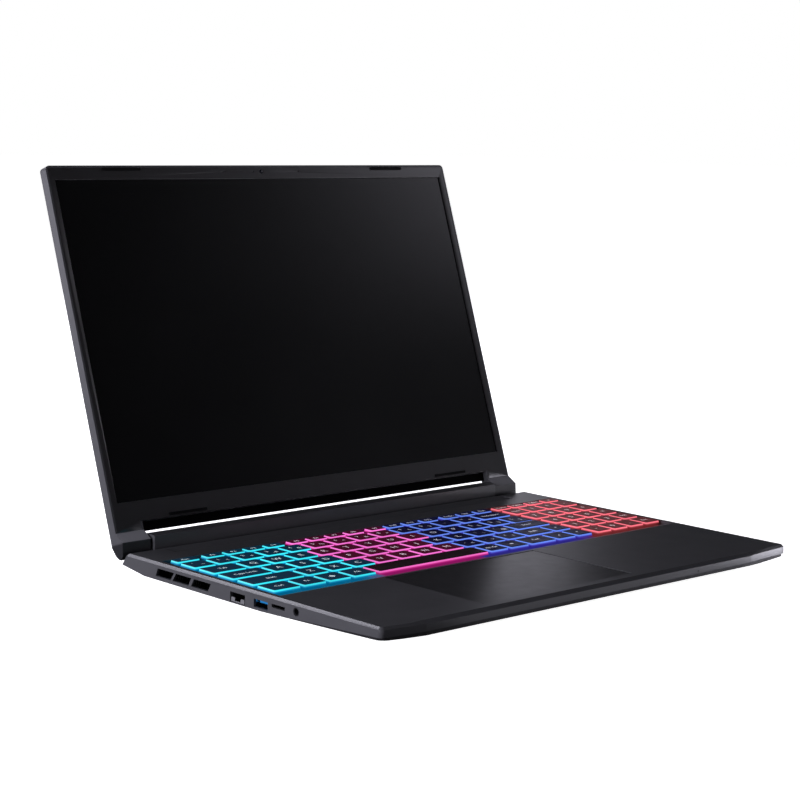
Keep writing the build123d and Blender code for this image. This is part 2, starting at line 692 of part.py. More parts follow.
def fan_housing(hand):
    """Blower box, open above, below, behind and at its outer side, with a motor post."""
    centre_x = hand * FAN_CENTRE[0]
    half = FAN_SIZE / 2
    near, far = FAN_CENTRE[1] - half, FAN_CENTRE[1] + half
    inner = half - FAN_SHEET
    middle_z = (FAN_BOTTOM + FAN_TOP) / 2
    with BuildPart(deck) as housing:
        block((centre_x - half, centre_x + half), (near, far), (FAN_BOTTOM, FAN_TOP))
        fillet(housing.edges().filter_by(Axis.Z), 4)
        block(
            (centre_x - inner, centre_x + inner),
            (near + FAN_SHEET, far - FAN_SHEET),
            (FAN_BOTTOM + FAN_SHEET, FAN_TOP - FAN_SHEET),
            mode=Mode.SUBTRACT,
        )
        with Locations((centre_x, FAN_CENTRE[1], middle_z)):
            Cylinder(22, 20, mode=Mode.SUBTRACT)
        with Locations((centre_x, far, middle_z)):
            Box(54, 6, 6.4, mode=Mode.SUBTRACT)
        with Locations((centre_x + hand * half, FAN_CENTRE[1], middle_z)):
            Box(6, 46, 6.4, mode=Mode.SUBTRACT)
        with Locations((centre_x, FAN_CENTRE[1], FAN_BOTTOM + FAN_SHEET / 2)):
            with PolarLocations(0, 2, angular_range=180):
                Box(46, 3, FAN_SHEET)
            Cylinder(7, FAN_SHEET)
        with Locations((centre_x, FAN_CENTRE[1], FAN_BOTTOM)):
            Cylinder(3.4, 3.0, align=ON_BASE)
            Cylinder(1.35, 4.0, align=ON_BASE, mode=Mode.SUBTRACT)
    return housing.part


def fan_rotor(hand):
    """Hub, axle pin and slanted blades."""
    centre = (hand * FAN_CENTRE[0], FAN_CENTRE[1])
    blade_length = ROTOR_RADIUS - HUB_RADIUS + 1
    with BuildPart(deck) as rotor:
        with Locations((*centre, FAN_BOTTOM + 3.4)):
            Cylinder(HUB_RADIUS, 4.2, align=ON_BASE)
        with Locations((*centre, FAN_BOTTOM + 0.4)):
            Cylinder(1.2, 3.4, align=ON_BASE)
        with Locations((*centre, FAN_BOTTOM + 5.4)):
            with PolarLocations(HUB_RADIUS + blade_length / 2 - 1.5, BLADE_COUNT):
                Box(blade_length, 0.8, 4.0, rotation=(0, 0, 22))
    return rotor.part


for label, maker, hand in [
    ("left_fan_housing", fan_housing, -1),
    ("right_fan_housing", fan_housing, 1),
    ("left_fan_rotor", fan_rotor, -1),
    ("right_fan_rotor", fan_rotor, 1),
]:
    piece = maker(hand)
    piece.label = label
    export_step(piece, f"parts/{label}.step")

# ---------------------------------------------------------------- ports and status light
PORT_FACE = HALF - WALL
SHELL = 0.4
TONGUE_SET_BACK = 2.0


def socket(x, y, z, depth, shell=SHELL):
    """Metal shell along X around an opening, open towards the nearer side of the base."""
    outward = math.copysign(1, x[0])
    block((x[0], x[1]), (y[0] - shell, y[1] + shell), (z[0] - shell, z[1] + shell))
    mouth = min(x[0], x[1]) if outward < 0 else max(x[0], x[1])
    far_end = mouth - outward * depth
    block((min(mouth, far_end), max(mouth, far_end)), y, z, mode=Mode.SUBTRACT)


with BuildPart(deck) as network_jack:
    socket((-PORT_FACE, -160), (120.0, 133.4), (-10.0, -4.5), 15)
    with Locations((-171, 126.7, -4.75)):
        with GridLocations(0, 1.27, 1, 8):
            Box(10, 0.5, 0.5)
network_jack.part.label = "network_jack"
export_step(network_jack.part, "parts/network_jack.step")

FLAP_X = -HALF + 0.5
FLAP_Y = 126.7
FLAP_Z = -9.85
FLAP_HEIGHT = 2.5
FLAP_HALF = 0.35
with BuildPart(deck) as network_jack_flap:
    for low, high in [(120.4, 123.9), (129.5, 133.0)]:
        block((FLAP_X - FLAP_HALF, FLAP_X + FLAP_HALF), (low, high), (FLAP_Z, FLAP_Z + FLAP_HEIGHT))
    fillet(network_jack_flap.edges().filter_by(Axis.X).group_by(Axis.Z)[-1], 0.8)
    with Locations((FLAP_X, FLAP_Y, FLAP_Z)):
        Cylinder(FLAP_HALF, 12.6, rotation=(90, 0, 0))
network_jack_flap.part.label = "network_jack_flap"
export_step(network_jack_flap.part, "parts/network_jack_flap.step")

TONGUE_Z = (usb_z[1] - 2.4, usb_z[1] - 0.6)
with BuildPart(deck) as left_usb_port:
    socket((-PORT_FACE, -160), (LEFT_USB_Y - 6.5, LEFT_USB_Y + 6.5), usb_z, 15)
    block((-PORT_FACE + TONGUE_SET_BACK, -162), (LEFT_USB_Y - 5.5, LEFT_USB_Y + 5.5), TONGUE_Z)
left_usb_port.part.label = "left_usb_port"
export_step(left_usb_port.part, "parts/left_usb_port.step")

with BuildPart(deck) as right_usb_ports:
    for port_y in RIGHT_USB_Y:
        socket((160, PORT_FACE), (port_y - 6.5, port_y + 6.5), usb_z, 15)
        block((162, PORT_FACE - TONGUE_SET_BACK), (port_y - 5.5, port_y + 5.5), TONGUE_Z)
right_usb_ports.part.label = "right_usb_ports"
export_step(right_usb_ports.part, "parts/right_usb_ports.step")

with BuildPart(deck) as card_slot:
    socket((-PORT_FACE, -163), CARD_Y, CARD_Z, 12)
card_slot.part.label = "card_slot"
export_step(card_slot.part, "parts/card_slot.step")

AUDIO_BORE = 1.8
AUDIO_DEPTH = 14.0
with BuildPart(deck) as audio_jack:
    block((-PORT_FACE, -162), (AUDIO_Y - 3.5, AUDIO_Y + 3.5), (AUDIO_Z - 3.2, AUDIO_Z + 3.2))
    with Locations((-PORT_FACE - WALL / 2 + 0.1, AUDIO_Y, AUDIO_Z)):
        Cylinder(2.5, WALL - 0.2, rotation=(0, 90, 0))
    with Locations((-HALF + 0.2 + AUDIO_DEPTH / 2, AUDIO_Y, AUDIO_Z)):
        Cylinder(AUDIO_BORE, AUDIO_DEPTH, rotation=(0, 90, 0), mode=Mode.SUBTRACT)
audio_jack.part.label = "audio_jack"
export_step(audio_jack.part, "parts/audio_jack.step")

with BuildPart(deck) as status_light:
    with Locations((LIGHT_X, 0.5, LIGHT_Z)):
        Cylinder(LIGHT_RADIUS, 9.6, rotation=(90, 0, 0))
status_light.part.label = "status_light"
export_step(status_light.part, "parts/status_light.step")

PORT_START = 250.0
with BuildPart(deck) as hdmi_port:
    with Locations((HDMI_X, REAR_WALL_Y[0], PORT_Z)):
        Box(16, REAR_WALL_Y[0] - PORT_START, 5.8, align=(Align.CENTER, Align.MAX, Align.CENTER))
        Box(15, 24.8, 5, mode=Mode.SUBTRACT)
    block((HDMI_X - 6, HDMI_X + 6), (PORT_START + 1, REAR_WALL_Y[0] - 1), (PORT_Z - 0.5, PORT_Z + 0.5))
hdmi_port.part.label = "hdmi_port"
export_step(hdmi_port.part, "parts/hdmi_port.step")

with BuildPart(deck) as usb_c_port:
    block((USB_C_X - 5, USB_C_X + 5), (PORT_START, REAR_WALL_Y[0]), (PORT_Z - 2.1, PORT_Z + 2.1))
    fillet(usb_c_port.edges().filter_by(Axis.Y), 1.9)
    with BuildSketch(front.offset(-REAR_WALL_Y[0])):
        with Locations((USB_C_X, PORT_Z)):
            SlotOverall(9.0, 3.2)
    extrude(amount=REAR_WALL_Y[0] - PORT_START - 2, mode=Mode.SUBTRACT)
    with Locations((USB_C_X, REAR_WALL_Y[0] - 1, PORT_Z)):
        Box(6.6, REAR_WALL_Y[0] - PORT_START - 2, 0.7, align=(Align.CENTER, Align.MAX, Align.CENTER))
usb_c_port.part.label = "usb_c_port"
export_step(usb_c_port.part, "parts/usb_c_port.step")

with BuildPart(deck) as power_inlet:
    block((POWER_X - 5, POWER_X + 5), (PORT_START, REAR_WALL_Y[0]), (PORT_Z - 3.3, PORT_Z + 3.3))
    with Locations((POWER_X, REAR_WALL_Y[0], PORT_Z)):
        Cylinder(POWER_BORE, 22, rotation=(90, 0, 0), mode=Mode.SUBTRACT)
    with Locations((POWER_X, REAR_WALL_Y[0] - 6.5, PORT_Z)):
        Cylinder(0.5, 11, rotation=(90, 0, 0))
    block((POWER_X - 4, POWER_X + 4), (PORT_START, PORT_START + 2.4), (PORT_Z - 3, PORT_Z + 3))
power_inlet.part.label = "power_inlet"
export_step(power_inlet.part, "parts/power_inlet.step")

# ---------------------------------------------------------------- lid
STRIP_START = 9.43
STRIP_END = 15.7
STRIP_INNER = 17.0
STRIP_FRONT = -4.46
BEZEL_LEG_END = 10.0
BEZEL_BACK = LID_FRONT - BEZEL_THICKNESS
BACK_INSIDE = LID_BACK + LID_SKIN
LEG_PROFILE = [
    (32.0, LID_BACK),
    (1.45, LID_BACK),
    (-4.2, -4.7),
    (-6.8, -2.1),
    (-7.6, 0.2),
    (-5.1, 3.2),
    (2.9, 5.4),
    (9.9, LID_FRONT),
    (32.0, LID_FRONT),
]
LEG_HOLLOW = [
    (34.0, BACK_INSIDE),
    (2.0, BACK_INSIDE),
    (-3.6, -3.2),
    (-5.6, -0.6),
    (-3.8, 2.0),
    (2.2, 3.6),
    (8.0, -1.46),
    (34.0, BEZEL_BACK),
]

with BuildPart(lid) as lid_back_cover:
    # Slab with rounded top corners, and the two hinge legs
    block((-LID_HALF, LID_HALF), (STRIP_START, LID_TOP), (LID_BACK, LID_FRONT))
    top_corners = lid_back_cover.edges().filter_by(lambda edge: edge.length < 8).group_by(Axis.Z)[-1]
    fillet(top_corners.filter_by(lambda edge: abs(edge.center().X) > LEG_INNER), CORNER_RADIUS)
    for low, high in both(LEG_INNER, LID_HALF):
        with BuildSketch(lid_side.offset(low)):
            with BuildLine():
                Polyline(*LEG_PROFILE, close=True)
            make_face()
        extrude(amount=high - low)

    # Hollow for the display, set-back strip between the legs and seat of the bezel
    inner_half = LID_HALF - LID_SKIN
    block((-inner_half, inner_half), (STRIP_INNER, LID_TOP - LID_SKIN), (BACK_INSIDE, 1), Mode.SUBTRACT)
    block((-LEG_INNER, LEG_INNER), (STRIP_START - 1, STRIP_INNER), (STRIP_FRONT, 1), Mode.SUBTRACT)
    block((-inner_half, inner_half), (STRIP_END, STRIP_INNER), (BEZEL_BACK, 1), Mode.SUBTRACT)
    for low, high in both(LEG_INNER + LID_SKIN, LID_HALF - LID_SKIN):
        block((low, high), (BEZEL_LEG_END, STRIP_INNER), (BEZEL_BACK, 1), Mode.SUBTRACT)
        with BuildSketch(lid_side.offset(low)):
            with BuildLine():
                Polyline(*LEG_HOLLOW, close=True)
            make_face()
        extrude(amount=high - low, mode=Mode.SUBTRACT)
    Cylinder(SHAFT_RADIUS, 2 * (LEG_INNER + LID_SKIN) + 1, rotation=(0, 90, 0), mode=Mode.SUBTRACT)
lid_back_cover.part.label = "lid_back_cover"
export_step(lid_back_cover.part, "parts/lid_back_cover.step")

CAMERA_ALONG = SCREEN_START + 220.4
LENS_RADIUS = 1.6
MICROPHONE_X = 34.0
BEZEL_HALF = LID_HALF - LID_SKIN - 0.1
BEZEL_TOP = LID_TOP - LID_SKIN - 0.1

with BuildPart(lid) as display_bezel:
    block((-BEZEL_HALF, BEZEL_HALF), (STRIP_END, BEZEL_TOP), (BEZEL_BACK, LID_FRONT))
    for low, high in both(LEG_INNER + LID_SKIN + 0.1, BEZEL_HALF):
        block((low, high), (BEZEL_LEG_END + 0.1, STRIP_END), (BEZEL_BACK, LID_FRONT))
    block((-LEG_INNER, LEG_INNER), (STRIP_END, STRIP_INNER), (STRIP_FRONT, BEZEL_BACK))
    block(
        (-SCREEN_WIDTH / 2, SCREEN_WIDTH / 2),
        (SCREEN_START, SCREEN_START + SCREEN_HEIGHT),
        (-5, 1),
        mode=Mode.SUBTRACT,
    )
    with Locations((0, CAMERA_ALONG, LID_FRONT)):
        Cylinder(LENS_RADIUS, 6, mode=Mode.SUBTRACT)
        with Locations((-7, 0), (-MICROPHONE_X, 0), (MICROPHONE_X, 0)):
            Cylinder(0.5, 6, mode=Mode.SUBTRACT)
display_bezel.part.label = "display_bezel"
export_step(display_bezel.part, "parts/display_bezel.step")

PANEL_TOP = 246.6
with BuildPart(lid) as display_panel:
    block((-175.4, 175.4), (25.5, PANEL_TOP), (BEZEL_BACK - 3.4, BEZEL_BACK))
    block((-120, 120), (22.0, 25.5), (BEZEL_BACK - 3.4, BEZEL_BACK - 1.4))
display_panel.part.label = "display_panel"
export_step(display_panel.part, "parts/display_panel.step")

with BuildPart(lid) as webcam_module:
    block((-40, 40), (PANEL_TOP + 0.3, LID_TOP - LID_SKIN - 0.3), (-4.2, -3.2))
    with Locations((0, CAMERA_ALONG, -2.4)):
        Box(5.6, 4.8, 1.8)
    with Locations((0, CAMERA_ALONG, -1.2)):
        Cylinder(LENS_RADIUS - 0.1, 1.0)
    with Locations((0, CAMERA_ALONG, -3.0)):
        with Locations((-7, 0), (-MICROPHONE_X, 0), (MICROPHONE_X, 0)):
            Box(3, 3, 1.0)
webcam_module.part.label = "webcam_module"
export_step(webcam_module.part, "parts/webcam_module.step")

BUMPER_X = (104, 134)
BUMPER_HEIGHT = 0.9
with BuildPart(lid) as lid_bumpers:
    for low, high in both(*BUMPER_X):
        for along in [SCREEN_START - 12.4, SCREEN_START + 221.4]:
            block((low, high), (along, along + 1.8), (LID_FRONT, LID_FRONT + BUMPER_HEIGHT))
lid_bumpers.part.label = "lid_bumpers"
export_step(lid_bumpers.part, "parts/lid_bumpers.step")

ARM_X = (LEG_INNER + LID_SKIN + 0.3, LEG_INNER + LID_SKIN + 2.3)
with BuildPart(lid) as hinge_shafts:
    for hand in [-1, 1]:
        low, high = sorted((hand * (BRACKET_X[0] - 1), hand * ARM_X[1]))
        with Locations(((low + high) / 2, 0, 0)):
            Cylinder(SHAFT_RADIUS, high - low, rotation=(0, 90, 0))
        low, high = sorted((hand * ARM_X[0], hand * ARM_X[1]))
        block((low, high), (0, 9), (-4.5, -1.6))
        block((low, high), (8.5, 21), (BACK_INSIDE + 0.3, BACK_INSIDE + 3.6))
        low, high = sorted((hand * ARM_X[0], hand * 174))
        block((low, high), (11, 21), (BACK_INSIDE + 0.3, BACK_INSIDE + 1.5))
hinge_shafts.part.label = "hinge_shafts"
export_step(hinge_shafts.part, "parts/hinge_shafts.step")
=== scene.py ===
import bmesh
import bpy
import json
import math
from mathutils import Matrix, Vector


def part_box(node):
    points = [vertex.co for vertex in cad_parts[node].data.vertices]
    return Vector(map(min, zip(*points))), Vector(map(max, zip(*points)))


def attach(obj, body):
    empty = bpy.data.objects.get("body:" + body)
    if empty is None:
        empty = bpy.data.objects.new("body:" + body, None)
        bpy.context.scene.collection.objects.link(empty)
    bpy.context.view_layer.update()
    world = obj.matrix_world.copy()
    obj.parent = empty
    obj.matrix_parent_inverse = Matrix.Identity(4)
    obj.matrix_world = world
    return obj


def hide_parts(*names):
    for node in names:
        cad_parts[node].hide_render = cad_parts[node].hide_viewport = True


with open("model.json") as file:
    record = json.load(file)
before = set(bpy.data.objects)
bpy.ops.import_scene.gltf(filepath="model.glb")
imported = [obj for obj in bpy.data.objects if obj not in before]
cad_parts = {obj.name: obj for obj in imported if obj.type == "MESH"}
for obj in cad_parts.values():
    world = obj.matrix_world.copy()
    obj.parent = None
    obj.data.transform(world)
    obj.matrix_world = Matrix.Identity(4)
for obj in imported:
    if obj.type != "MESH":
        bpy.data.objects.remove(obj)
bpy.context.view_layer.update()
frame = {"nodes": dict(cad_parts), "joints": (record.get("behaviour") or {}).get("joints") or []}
nodes = frame["nodes"]

# All lengths are metres in the row frame: +X right, +Y to the rear, +Z up.
MM = 0.001
# The lid as it stands at rest: its lean, the way up along it and the way out of the screen.
LID_TILT = math.radians(19.07)
LID_ALONG = Vector((0, math.sin(LID_TILT), math.cos(LID_TILT)))
LID_OUT = Vector((0, -math.cos(LID_TILT), math.sin(LID_TILT)))
HINGE = next(Vector(j["pos_m"]) for j in frame["joints"] if j["name"] == "lid_hinge")
scene = bpy.context.scene


# ---------------------------------------------------------------- camera, light and floor
CAMERA_PLACE = Vector((-0.89521, -0.96150, 0.29040))
CAMERA_TARGET = Vector((-0.04059, -0.02892, 0.11622))
CAMERA_ROLL = math.radians(1.02)
SENSOR_WIDTH = 36.0  # in millimetres, like the focal length
FOCAL_LENGTH = 90.59
CLIP_NEAR = 0.05
CLIP_FAR = 50
FLOOR_HALF = 12.0
FILL_COLOUR = (0.9, 0.94, 1.0, 1)
FILL_STRENGTH = 0.01
LIGHT_COLOUR = (0.98, 0.965, 1.09)

# Softboxes left and behind, small ones on the right, and pale cards on the floor in front:
# name, place, target, size, radiance
LIGHTS = [
    ("left_softbox", (-1.6, 0, 0.27), (-0.1, 0, 0.1), (1.0, 0.8), 29.0),
    ("rear_left_softbox", (-0.9, 1.5, 0.35), (-0.15, 0, 0.12), (0.8, 0.9), 2.1),
    ("rear_high_softbox", (-0.5, 1.4, 1.4), (-0.15, 0, 0.05), (0.8, 0.7), 8.0),
    ("rear_soft_fill", (0.5, 1.7, 0.9), (0, 0.1, 0.1), (1.0, 0.9), 3.0),
    ("right_soft_fill", (1.7, 0.1, 0.3), (0.1, 0, 0.1), (1.0, 0.8), 4.0),
    ("high_right_card", (1.35, -0.62, 0.98), (0, 0, 0.15), (0.35, 0.45), 1.9),
    ("low_right_card", (1.5, -1.0, 0.12), (0, -0.1, 0.02), (1.0, 0.22), 3.2),
    ("rear_right_card", (1.15, 1.15, 0.3), (0.06, -0.1, 0.02), (0.35, 0.3), 1.24),
    ("rear_right_strip", (1.02, 1.22, 0.32), (0.03, -0.1, 0.02), (0.16, 0.3), 6.0),
    ("front_card", (0.15, -0.31, 0.002), (0.15, -0.31, 1), (0.5, 0.24), 0.75),
    ("front_right_card", (0.35, -0.3, 0.002), (0.35, -0.3, 1), (0.3, 0.22), 11.0),
    ("right_card", (0.75, -0.35, 0.003), (0.75, -0.35, 1), (0.8, 0.5), 3.5),
]
# These large boxes only shade the case: their glare would hide the deck from the far side.
NO_GLARE = ("left_softbox", "rear_soft_fill", "right_soft_fill")


def make_camera():
    """Camera at the viewing angle: front left, a little above the deck."""
    data = bpy.data.cameras.new("camera")
    data.sensor_width = SENSOR_WIDTH
    data.lens = FOCAL_LENGTH
    data.clip_start = CLIP_NEAR
    data.clip_end = CLIP_FAR
    camera = bpy.data.objects.new("camera", data)
    scene.collection.objects.link(camera)
    look = (CAMERA_TARGET - CAMERA_PLACE).to_track_quat("-Z", "Y").to_matrix().to_4x4()
    roll = Matrix.Rotation(CAMERA_ROLL, 4, "Z")
    camera.matrix_world = Matrix.Translation(CAMERA_PLACE) @ look @ roll
    scene.camera = camera


def make_lights():
    """Rectangular area lights, each aimed at its target and unseen by the camera."""
    for name, place, target, size, radiance in LIGHTS:
        data = bpy.data.lights.new(name, "AREA")
        data.shape = "RECTANGLE"
        data.size, data.size_y = size
        data.energy = math.pi * size[0] * size[1] * radiance
        data.color = LIGHT_COLOUR
        light = bpy.data.objects.new(name, data)
        light.location = place
        aim = Vector(target) - Vector(place)
        light.rotation_euler = aim.to_track_quat("-Z", "Y").to_euler()
        light.visible_camera = False
        scene.collection.objects.link(light)
        light.visible_glossy = name not in NO_GLARE


def make_world():
    """White to the camera, and a dim even fill to everything else."""
    world = bpy.data.worlds.new("studio")
    scene.world = world
    world.use_nodes = True
    tree = world.node_tree
    tree.nodes.clear()
    output = tree.nodes.new("ShaderNodeOutputWorld")
    mix = tree.nodes.new("ShaderNodeMixShader")
    fill = tree.nodes.new("ShaderNodeBackground")
    white = tree.nodes.new("ShaderNodeBackground")
    path = tree.nodes.new("ShaderNodeLightPath")
    fill.inputs["Color"].default_value = FILL_COLOUR
    fill.inputs["Strength"].default_value = FILL_STRENGTH
    white.inputs["Color"].default_value = (1, 1, 1, 1)
    tree.links.new(path.outputs["Is Camera Ray"], mix.inputs[0])
    tree.links.new(fill.outputs[0], mix.inputs[1])
    tree.links.new(white.outputs[0], mix.inputs[2])
    tree.links.new(mix.outputs[0], output.inputs[0])


def make_floor():
    """Large pale floor that the feet stand on."""
    mesh = bpy.data.meshes.new("floor")
    half = FLOOR_HALF
    corners = [(-half, -half, 0), (half, -half, 0), (half, half, 0), (-half, half, 0)]
    mesh.from_pydata(corners, [], [(0, 1, 2, 3)])
    floor = bpy.data.objects.new("floor", mesh)
    scene.collection.objects.link(floor)
    shade = Shade("floor_white", (0.86, 0.86, 0.86), 0.7, specular=0.2)
    shade.vary_colour((0.84, 0.84, 0.84), (0.88, 0.88, 0.88), 3.0)
    shade.set("Emission Color", (1, 1, 1, 1))
    shade.set("Emission Strength", 1.0)
    mesh.materials.append(shade.material)
    floor.visible_diffuse = False
    floor.visible_glossy = False


# ---------------------------------------------------------------- materials
NOISE_LOW = 0.3
NOISE_HIGH = 0.7
NOISE_DARK = 0.35
NOISE_LIGHT = 0.65
# Inputs and output of a Mix node set to colours
MIX_FACTOR, MIX_A, MIX_B, MIX_RESULT = 0, 6, 7, 2
METAL_DARK = (0.030, 0.030, 0.032)
METAL_LIGHT = (0.034, 0.034, 0.036)
SLOPE_NORMAL = Vector((0, -0.51, 0.86))
# Painted highlight on the slope of the hinge legs
SLOPE_PAINTED_HIGHLIGHT = (0.13, 0.13, 0.137)
# Painted shade on the lower part of the hinge legs
LEG_PAINTED_SHADE = (0.006, 0.006, 0.007)
# Between these heights above the hinge, along the lid, the legs' painted shade fades out
LEG_SHADE_FADE = (2.2 * MM, 3.4 * MM)


class Shade:
    """A Principled material with procedural colour, roughness and relief in object space."""

    def __init__(self, name, colour, roughness, metallic=0.0, specular=0.5):
        self.material = bpy.data.materials.new(name)
        self.material.use_nodes = True
        self.tree = self.material.node_tree
        self.surface = self.tree.nodes["Principled BSDF"]
        self.set("Base Color", (*colour, 1))
        self.set("Roughness", roughness)
        self.set("Metallic", metallic)
        self.set("Specular IOR Level", specular)
        self.place = self.node("ShaderNodeTexCoord").outputs["Object"]

    def set(self, socket, value):
        self.surface.inputs[socket].default_value = value

    def node(self, kind, **settings):
        made = self.tree.nodes.new(kind)
        for key, value in settings.items():
            setattr(made, key, value)
        return made

    def link(self, output, socket):
        self.tree.links.new(output, socket)

    def noise(self, scale, detail, stretch=(1, 1, 1)):
        """Noise from 0 to 1 with about that many features in a metre."""
        mapping = self.node("ShaderNodeMapping")
        mapping.inputs["Scale"].default_value = stretch
        self.link(self.place, mapping.inputs["Vector"])
        noise = self.node("ShaderNodeTexNoise")
        noise.inputs["Scale"].default_value = scale
        noise.inputs["Detail"].default_value = detail
        self.link(mapping.outputs[0], noise.inputs["Vector"])
        return noise.outputs["Fac"]

    def coordinate(self, axis):
        """Position along one axis of object space."""
        split = self.node("ShaderNodeSeparateXYZ")
        self.link(self.place, split.inputs[0])
        return split.outputs[axis]

    def spread(self, value, start, end, low=0.0, high=1.0):
        """Number that runs from low to high as the value goes from start to end."""
        spread = self.node("ShaderNodeMapRange")
        spread.inputs["From Min"].default_value = start
        spread.inputs["From Max"].default_value = end
        spread.inputs["To Min"].default_value = low
        spread.inputs["To Max"].default_value = high
        self.link(value, spread.inputs["Value"])
        return spread.outputs[0]

    def ramp(self, value, stops):
        """Colour that passes through (position, colour) stops as the value rises."""
        ramp = self.node("ShaderNodeValToRGB")
        for _ in range(len(stops) - 2):
            ramp.color_ramp.elements.new(0.5)
        for element, (position, colour) in zip(ramp.color_ramp.elements, stops):
            element.position = position
            element.color = (*colour, 1)
        self.link(value, ramp.inputs[0])
        return ramp.outputs[0]

    def vary_colour(self, dark, light, scale, stretch=(1, 1, 1)):
        stops = [(NOISE_DARK, dark), (NOISE_LIGHT, light)]
        colour = self.ramp(self.noise(scale, 4.0, stretch), stops)
        self.link(colour, self.surface.inputs["Base Color"])

    def vary_roughness(self, low, high, scale, stretch=(1, 1, 1)):
        noise = self.noise(scale, 4.0, stretch)
        value = self.spread(noise, NOISE_LOW, NOISE_HIGH, low, high)
        self.link(value, self.surface.inputs["Roughness"])

    def bump(self, scale, depth, stretch=(1, 1, 1)):
        """Relief of that depth in metres."""
        bump = self.node("ShaderNodeBump")
        bump.inputs["Distance"].default_value = depth
        self.link(self.noise(scale, 2.0, stretch), bump.inputs["Height"])
        self.link(bump.outputs[0], self.surface.inputs["Normal"])


def painted_metal(name, dark, light, roughness):
    """Matt powder-like paint with a very fine grain and faint handling marks."""
    shade = Shade(name, dark, roughness, specular=0.5)
    shade.vary_colour(dark, light, 38, stretch=(1, 1, 3))
    shade.vary_roughness(roughness - 0.012, roughness + 0.012, 55)
    shade.bump(5200, 0.006 * MM)
    return shade


def lid_paint_and_painted_light():
    """Paint of the lid, with painted shade on the lower part of the hinge legs and a painted
    highlight on their slope.
    """
    shade = painted_metal("lid_paint_and_painted_light", METAL_DARK, METAL_LIGHT, 0.42)
    seat = HINGE.dot(LID_ALONG)
    leg_low, leg_high = [seat + height for height in LEG_SHADE_FADE]
    # coordinate, direction, where the change starts and ends, colour, socket it goes into
    for source, axis, low, high, colour, other in [
        # painted highlight on the legs' slope
        ("Normal", SLOPE_NORMAL, 0.88, 0.95, SLOPE_PAINTED_HIGHLIGHT, MIX_B),
        # painted shade on the legs' lower part
        ("Object", LID_ALONG, leg_low, leg_high, LEG_PAINTED_SHADE, MIX_A),
    ]:
        along = shade.node("ShaderNodeVectorMath", operation="DOT_PRODUCT")
        along.inputs[1].default_value = axis
        shade.link(shade.node("ShaderNodeTexCoord").outputs[source], along.inputs[0])
        mix = shade.node("ShaderNodeMix", data_type="RGBA")
        mix.inputs[other].default_value = (*colour, 1)
        own = MIX_A if other == MIX_B else MIX_B
        base = shade.surface.inputs["Base Color"]
        shade.link(shade.spread(along.outputs["Value"], low, high), mix.inputs[MIX_FACTOR])
        shade.link(base.links[0].from_socket, mix.inputs[own])
        shade.link(mix.outputs[MIX_RESULT], base)
    return shade.material


def moulded(name, dark, light, roughness, grain, depth, specular=0.45, spread=0.02):
    """Moulded plastic with an even spark-eroded texture."""
    shade = Shade(name, dark, roughness, specular=specular)
    shade.vary_colour(dark, light, 60)
    shade.vary_roughness(roughness - spread, roughness + spread, 120)
    shade.bump(grain, depth * MM)
    return shade.material


def metal(name, dark, light, roughness, stretch=(1, 1, 1)):
    """Bare metal, brushed along the axis that is stretched least."""
    shade = Shade(name, dark, roughness, metallic=1.0)
    shade.vary_colour(dark, light, 260, stretch=stretch)
    shade.vary_roughness(roughness - 0.08, roughness + 0.1, 420, stretch=stretch)
    shade.bump(1500, 0.01 * MM, stretch=stretch)
    return shade.material


def circuit_board():
    """Nearly black solder mask over a maze of traces."""
    shade = Shade("board_mask", (0.004, 0.012, 0.008), 0.35)
    cells = shade.node("ShaderNodeTexVoronoi", distance="CHEBYCHEV", feature="F1")
    cells.inputs["Scale"].default_value = 700
    shade.link(shade.place, cells.inputs["Vector"])
    stops = [(0.3, (0.01, 0.03, 0.02)), (0.45, (0.003, 0.009, 0.006))]
    mask = shade.ramp(cells.outputs["Distance"], stops)
    shade.link(mask, shade.surface.inputs["Base Color"])
    shade.vary_roughness(0.25, 0.5, 300)
    shade.bump(1200, 0.02 * MM)
    return shade.material


def screen_film():
    """Matt anti-glare film over a switched-off panel."""
    shade = Shade("screen_film", (0.0006, 0.0006, 0.0007), 0.26, specular=0.5)
    shade.vary_colour((0.0005, 0.0005, 0.0006), (0.0009, 0.0009, 0.001), 9)
    shade.vary_roughness(0.245, 0.26, 14)
    shade.bump(4800, 0.004 * MM)
    return shade.material


# Each zone's light at the rim of a key, deeper in its skirt, and through its top
ZONES = {
    "cyan": ((0.03, 0.76, 0.88), (0.0, 0.20, 0.43), (0.001, 0.020, 0.044)),
    "magenta": ((0.92, 0.16, 0.64), (0.44, 0.012, 0.19), (0.045, 0.001, 0.012)),
    "space": ((0.86, 0.13, 0.52), (0.46, 0.012, 0.19), (0.006, 0.001, 0.002)),
    "blue": ((0.10, 0.20, 0.74), (0.04, 0.03, 0.38), (0.001, 0.001, 0.020)),
    "red": ((0.92, 0.15, 0.20), (0.26, 0.03, 0.035), (0.085, 0.015, 0.016)),
}
GLOW_STRENGTH = 1.12
LEGEND_STRENGTH = 0.55
LEGEND_WHITE = 0.5
LEGEND_TINT = 0.35
KEYS_LEFT = -172 * MM
KEYS_RIGHT = 172 * MM
PLATE_BORDERS = [
    ("cyan", "magenta", -84 * MM),
    ("magenta", "blue", 2 * MM),
    ("blue", "red", 106 * MM),
]
BORDER_BLUR = 2 * MM
# Strength of the plate's painted glow
PLATE_PAINTED_GLOW = 0.45


def glowing(name, colour, strength, base=(0.02, 0.02, 0.02)):
    """Clear plastic lit from inside, a little uneven from place to place."""
    shade = Shade(name, base, 0.4)
    shade.vary_colour(base, tuple(1.5 * c for c in base), 90)
    shade.set("Emission Color", (*colour, 1))
    low, high = 0.85 * strength, 1.15 * strength
    uneven = shade.spread(shade.noise(22, 2), NOISE_LOW, NOISE_HIGH, low, high)
    shade.link(uneven, shade.surface.inputs["Emission Strength"])
    return shade


